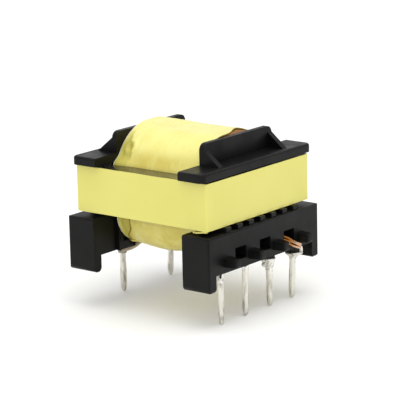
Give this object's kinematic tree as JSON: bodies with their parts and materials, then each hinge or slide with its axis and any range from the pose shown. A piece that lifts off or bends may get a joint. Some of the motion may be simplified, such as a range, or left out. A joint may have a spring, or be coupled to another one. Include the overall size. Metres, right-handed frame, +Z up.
{
  "type": "pcb transformer",
  "caption": "Small horizontal circuit-board transformer: E core pair and coil on a black pin former, wrapped in yellow tape.",
  "frame": {"origin": "level with the pin tips, under the middle of the part", "axes": "+X along the rows of pins, +Y along the coil's axis, +Z up, away from the circuit board"},
  "size_m": [0.0228, 0.0258, 0.0229],
  "materials": {
    "coil_former": "moulded, slightly glossy black",
    "ferrite": "ground dark grey",
    "yellow_tape": "smooth",
    "coil_tape": "smooth, softly wrinkled",
    "insulation_tape": "smooth",
    "copper": "enamelled copper wire",
    "lead_wire": "enamelled copper wire",
    "tinned_pin": "tinned, bright",
    "solder": "bright, smooth"
  },
  "bodies": {
    "root": {"bobbin": "coil_former", "core_half_front": "ferrite", "core_half_rear": "ferrite", "core_tape": "yellow_tape", "primary_inner_winding": "copper", "inner_insulation_tape": "insulation_tape", "secondary_winding": "copper", "middle_insulation_tape": "insulation_tape", "primary_outer_winding": "copper", "outer_coil_tape": "coil_tape", "pin_near_1": "tinned_pin", "pin_near_2": "tinned_pin", "pin_near_3": "tinned_pin", "pin_near_4": "tinned_pin", "pin_far_2": "tinned_pin", "pin_far_4": "tinned_pin", "lead_near_1": "lead_wire", "lead_near_2": "lead_wire", "lead_near_3": "lead_wire", "lead_near_4": "lead_wire", "lead_far_2": "lead_wire", "lead_far_4": "lead_wire", "solder_near_1": "solder", "solder_near_2": "solder", "solder_near_3": "solder", "solder_near_4": "solder", "solder_far_2": "solder", "solder_far_4": "solder"}
  },
  "joints": []
}
